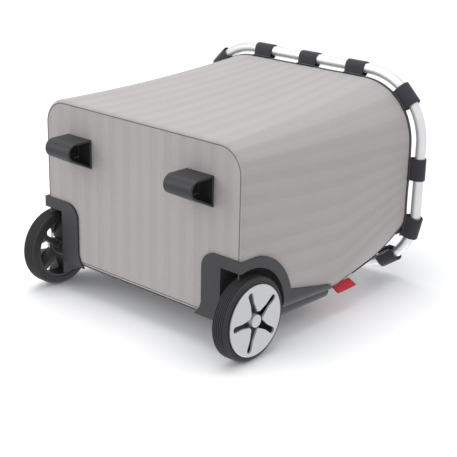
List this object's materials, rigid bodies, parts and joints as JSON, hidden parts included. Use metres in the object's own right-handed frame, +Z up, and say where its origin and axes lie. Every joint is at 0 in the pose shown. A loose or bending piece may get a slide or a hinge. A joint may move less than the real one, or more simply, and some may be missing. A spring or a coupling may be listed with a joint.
{
  "type": "rolling basket trolley",
  "caption": "Soft basket hung in an oval-cornered tube rim, on wheels at the back and feet at the front, with a telescopic pull handle.",
  "frame": {"origin": "on the floor, below the middle of the trolley's bounding box, with the trolley standing upright on its wheels and feet", "axes": "+X to the right side, +Y to the back (wheels and handle), +Z up"},
  "size_m": [0.4238, 0.3219, 0.475],
  "materials": {
    "basket_fabric": "woven polyester, light warm grey, slightly slubbed",
    "webbing": "dark grey woven webbing and binding tape",
    "lining_board": "stiff board covered in dark cloth",
    "tag_cloth": "folded red woven cloth, no lettering",
    "tube_aluminium": "satin anodised tube",
    "cap_silver": "silver lacquered moulding",
    "tyre_rubber": "soft black tread with fine grooves",
    "black_plastic": "fine-grained dark grey moulding",
    "bush_plastic": "plain acetal moulding",
    "grip_plastic": "soft-touch grip moulding",
    "button_plastic": "smooth grey button",
    "zinc_steel": "zinc-plated steel"
  },
  "bodies": {
    "frame": {"basket_wrap": "basket_fabric", "basket_back": "basket_fabric", "basket_bottom": "basket_fabric", "edge_binding": "webbing", "base_board": "lining_board", "back_liner": "lining_board", "seam_tag": "tag_cloth", "rim_tube": "tube_aluminium", "rim_spigot": "black_plastic", "rim_loops": "webbing", "wheel_housing_right": "black_plastic", "wheel_housing_left": "black_plastic", "back_plate": "black_plastic", "housing_screws": "zinc_steel", "axle_right": "zinc_steel", "axle_left": "zinc_steel", "axle_washers": "zinc_steel", "axle_clips": "zinc_steel", "foot_right": "black_plastic", "foot_left": "black_plastic", "foot_screws": "zinc_steel", "lower_bracket": "black_plastic", "bracket_screws": "zinc_steel", "top_bracket": "black_plastic", "rim_clamps": "black_plastic", "clamp_screws": "zinc_steel", "outer_tube_right": "tube_aluminium", "outer_tube_left": "tube_aluminium", "outer_bushes": "bush_plastic"},
    "wheel_right": {"wheel_core_right": "black_plastic", "tyre_right": "tyre_rubber", "wheel_cap_right": "cap_silver", "hub_disc_right": "cap_silver", "wheel_bushes_right": "bush_plastic"},
    "wheel_left": {"wheel_core_left": "black_plastic", "tyre_left": "tyre_rubber", "wheel_cap_left": "cap_silver", "hub_disc_left": "cap_silver", "wheel_bushes_left": "bush_plastic"},
    "middle_stage": {"middle_tube_right": "tube_aluminium", "middle_tube_left": "tube_aluminium", "middle_bridge": "black_plastic", "middle_bushes": "bush_plastic", "middle_plugs": "bush_plastic"},
    "inner_stage": {"inner_tube_right": "tube_aluminium", "inner_tube_left": "tube_aluminium", "inner_plugs": "bush_plastic", "grip_lower": "grip_plastic", "grip_upper": "grip_plastic", "grip_screws": "zinc_steel", "button_spring": "zinc_steel"},
    "button": {"release_button": "button_plastic", "release_rods": "zinc_steel"}
  },
  "joints": [
    {"name": "wheel_right_spin", "type": "hinge", "parent": "frame", "child": "wheel_right", "pos_m": [0.18, 0.10495, 0.056], "axis": [1, 0, 0], "continuous": true},
    {"name": "wheel_left_spin", "type": "hinge", "parent": "frame", "child": "wheel_left", "pos_m": [-0.18, 0.10495, 0.056], "axis": [1, 0, 0], "continuous": true},
    {"name": "handle_stage_1", "type": "slide", "parent": "frame", "child": "middle_stage", "axis": [0, 0, 1], "range_m": [0, 0.255]},
    {"name": "handle_stage_2", "type": "slide", "parent": "middle_stage", "child": "inner_stage", "axis": [0, 0, 1], "range_m": [0, 0.255]},
    {"name": "release_button_press", "type": "slide", "parent": "inner_stage", "child": "button", "axis": [0, 0, -1], "range_m": [0, 0.004], "stiffness_N_per_m": 500, "springref_m": -0.003, "deforming": ["button_spring"]}
  ]
}
